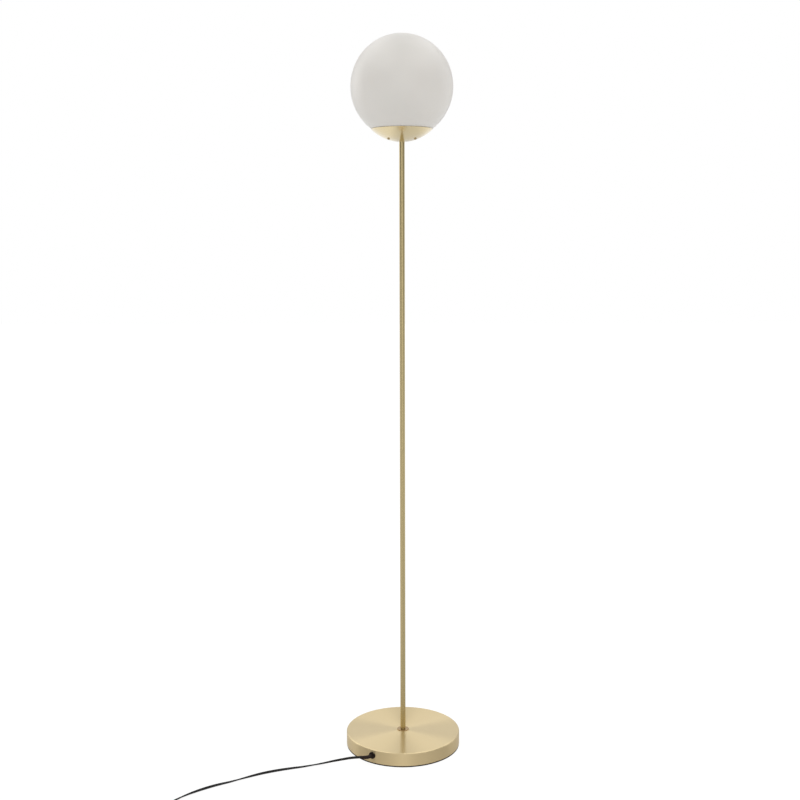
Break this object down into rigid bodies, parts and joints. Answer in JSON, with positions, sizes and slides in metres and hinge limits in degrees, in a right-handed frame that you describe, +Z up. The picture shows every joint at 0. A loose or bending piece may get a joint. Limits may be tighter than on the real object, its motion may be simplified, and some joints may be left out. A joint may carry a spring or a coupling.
{
  "type": "globe floor lamp",
  "caption": "Floor lamp with an opal glass globe seated in a shallow brass cup on a thin brass pole and a flat round weighted base, with a flat cord, a foot switch and a plug.",
  "frame": {"origin": "centre of the round base, on the floor", "axes": "+Z up along the pole, -Y the front; the cord leaves the base's side wall at the front left"},
  "size_m": [0.5235, 0.5219, 1.3476],
  "materials": {
    "satin_brass": "satin brushed and clear lacquered",
    "dark_brass": "darkened satin",
    "contact_brass": "bright",
    "opal_glass": "satin opal white, acid etched",
    "cast_iron": "rough cast, painted grey",
    "zinc_steel": "zinc plated",
    "spring_steel": "plain spring steel",
    "black_rubber": "matt",
    "clear_silicone": "translucent",
    "cord_black": "satin",
    "dark_plastic": "satin moulded",
    "switch_black": "semi gloss moulded",
    "white_ceramic": "glazed",
    "bulb_white": "satin",
    "bulb_metal": "satin",
    "pin_nickel": "nickel plated"
  },
  "bodies": {
    "stand": {"foot_pad": "black_rubber", "base_shell": "satin_brass", "base_weight": "cast_iron", "foot_collar": "satin_brass", "base_nipple": "zinc_steel", "base_washer": "zinc_steel", "base_nut": "zinc_steel", "cord_grip": "dark_plastic", "cord_bush": "black_rubber", "strain_relief": "black_rubber", "pole_lower": "satin_brass", "pole_middle": "satin_brass", "pole_upper": "satin_brass", "pole_joint_lower": "zinc_steel", "pole_joint_upper": "zinc_steel", "top_nipple": "zinc_steel", "inner_cable": "cord_black", "globe_cup": "satin_brass", "cup_washer": "zinc_steel", "cup_nut": "zinc_steel", "seat_ring": "clear_silicone", "globe_carrier": "zinc_steel", "cup_screw_1": "dark_brass", "cup_screw_2": "dark_brass", "cup_screw_3": "dark_brass", "globe_clip_1": "spring_steel", "globe_clip_2": "spring_steel", "globe_clip_3": "spring_steel", "holder_cap": "dark_plastic", "holder_body": "dark_plastic", "holder_insert": "white_ceramic", "holder_thread": "contact_brass", "holder_contact": "contact_brass", "cord_lead": "cord_black", "cord_link": "cord_black", "cord_coil": "cord_black", "cord_tail": "cord_black", "coil_tie": "dark_plastic", "switch_base": "switch_black", "switch_cover": "switch_black", "switch_contacts": "white_ceramic", "switch_spring": "spring_steel", "switch_screws": "zinc_steel", "plug_body": "dark_plastic", "plug_pin_left": "pin_nickel", "plug_pin_right": "pin_nickel"},
    "globe": {"globe_glass": "opal_glass"},
    "bulb": {"bulb_cap": "bulb_metal", "bulb_housing": "bulb_white", "bulb_board": "bulb_metal", "bulb_diffuser": "bulb_white"},
    "switch_button": {"switch_button": "switch_black"}
  },
  "joints": [
    {"name": "globe_lift", "type": "slide", "parent": "stand", "child": "globe", "axis": [0, 0, 1], "range_m": [0, 0.15]},
    {"name": "bulb_unscrew", "type": "slide", "parent": "stand", "child": "bulb", "axis": [0, 0, 1], "range_m": [0, 0.028]},
    {"name": "switch_press", "type": "slide", "parent": "stand", "child": "switch_button", "axis": [0, 0, -1], "range_m": [0, 0.003], "stiffness_N_per_m": 800, "springref_m": -0.002, "deforming": ["switch_spring"]}
  ]
}
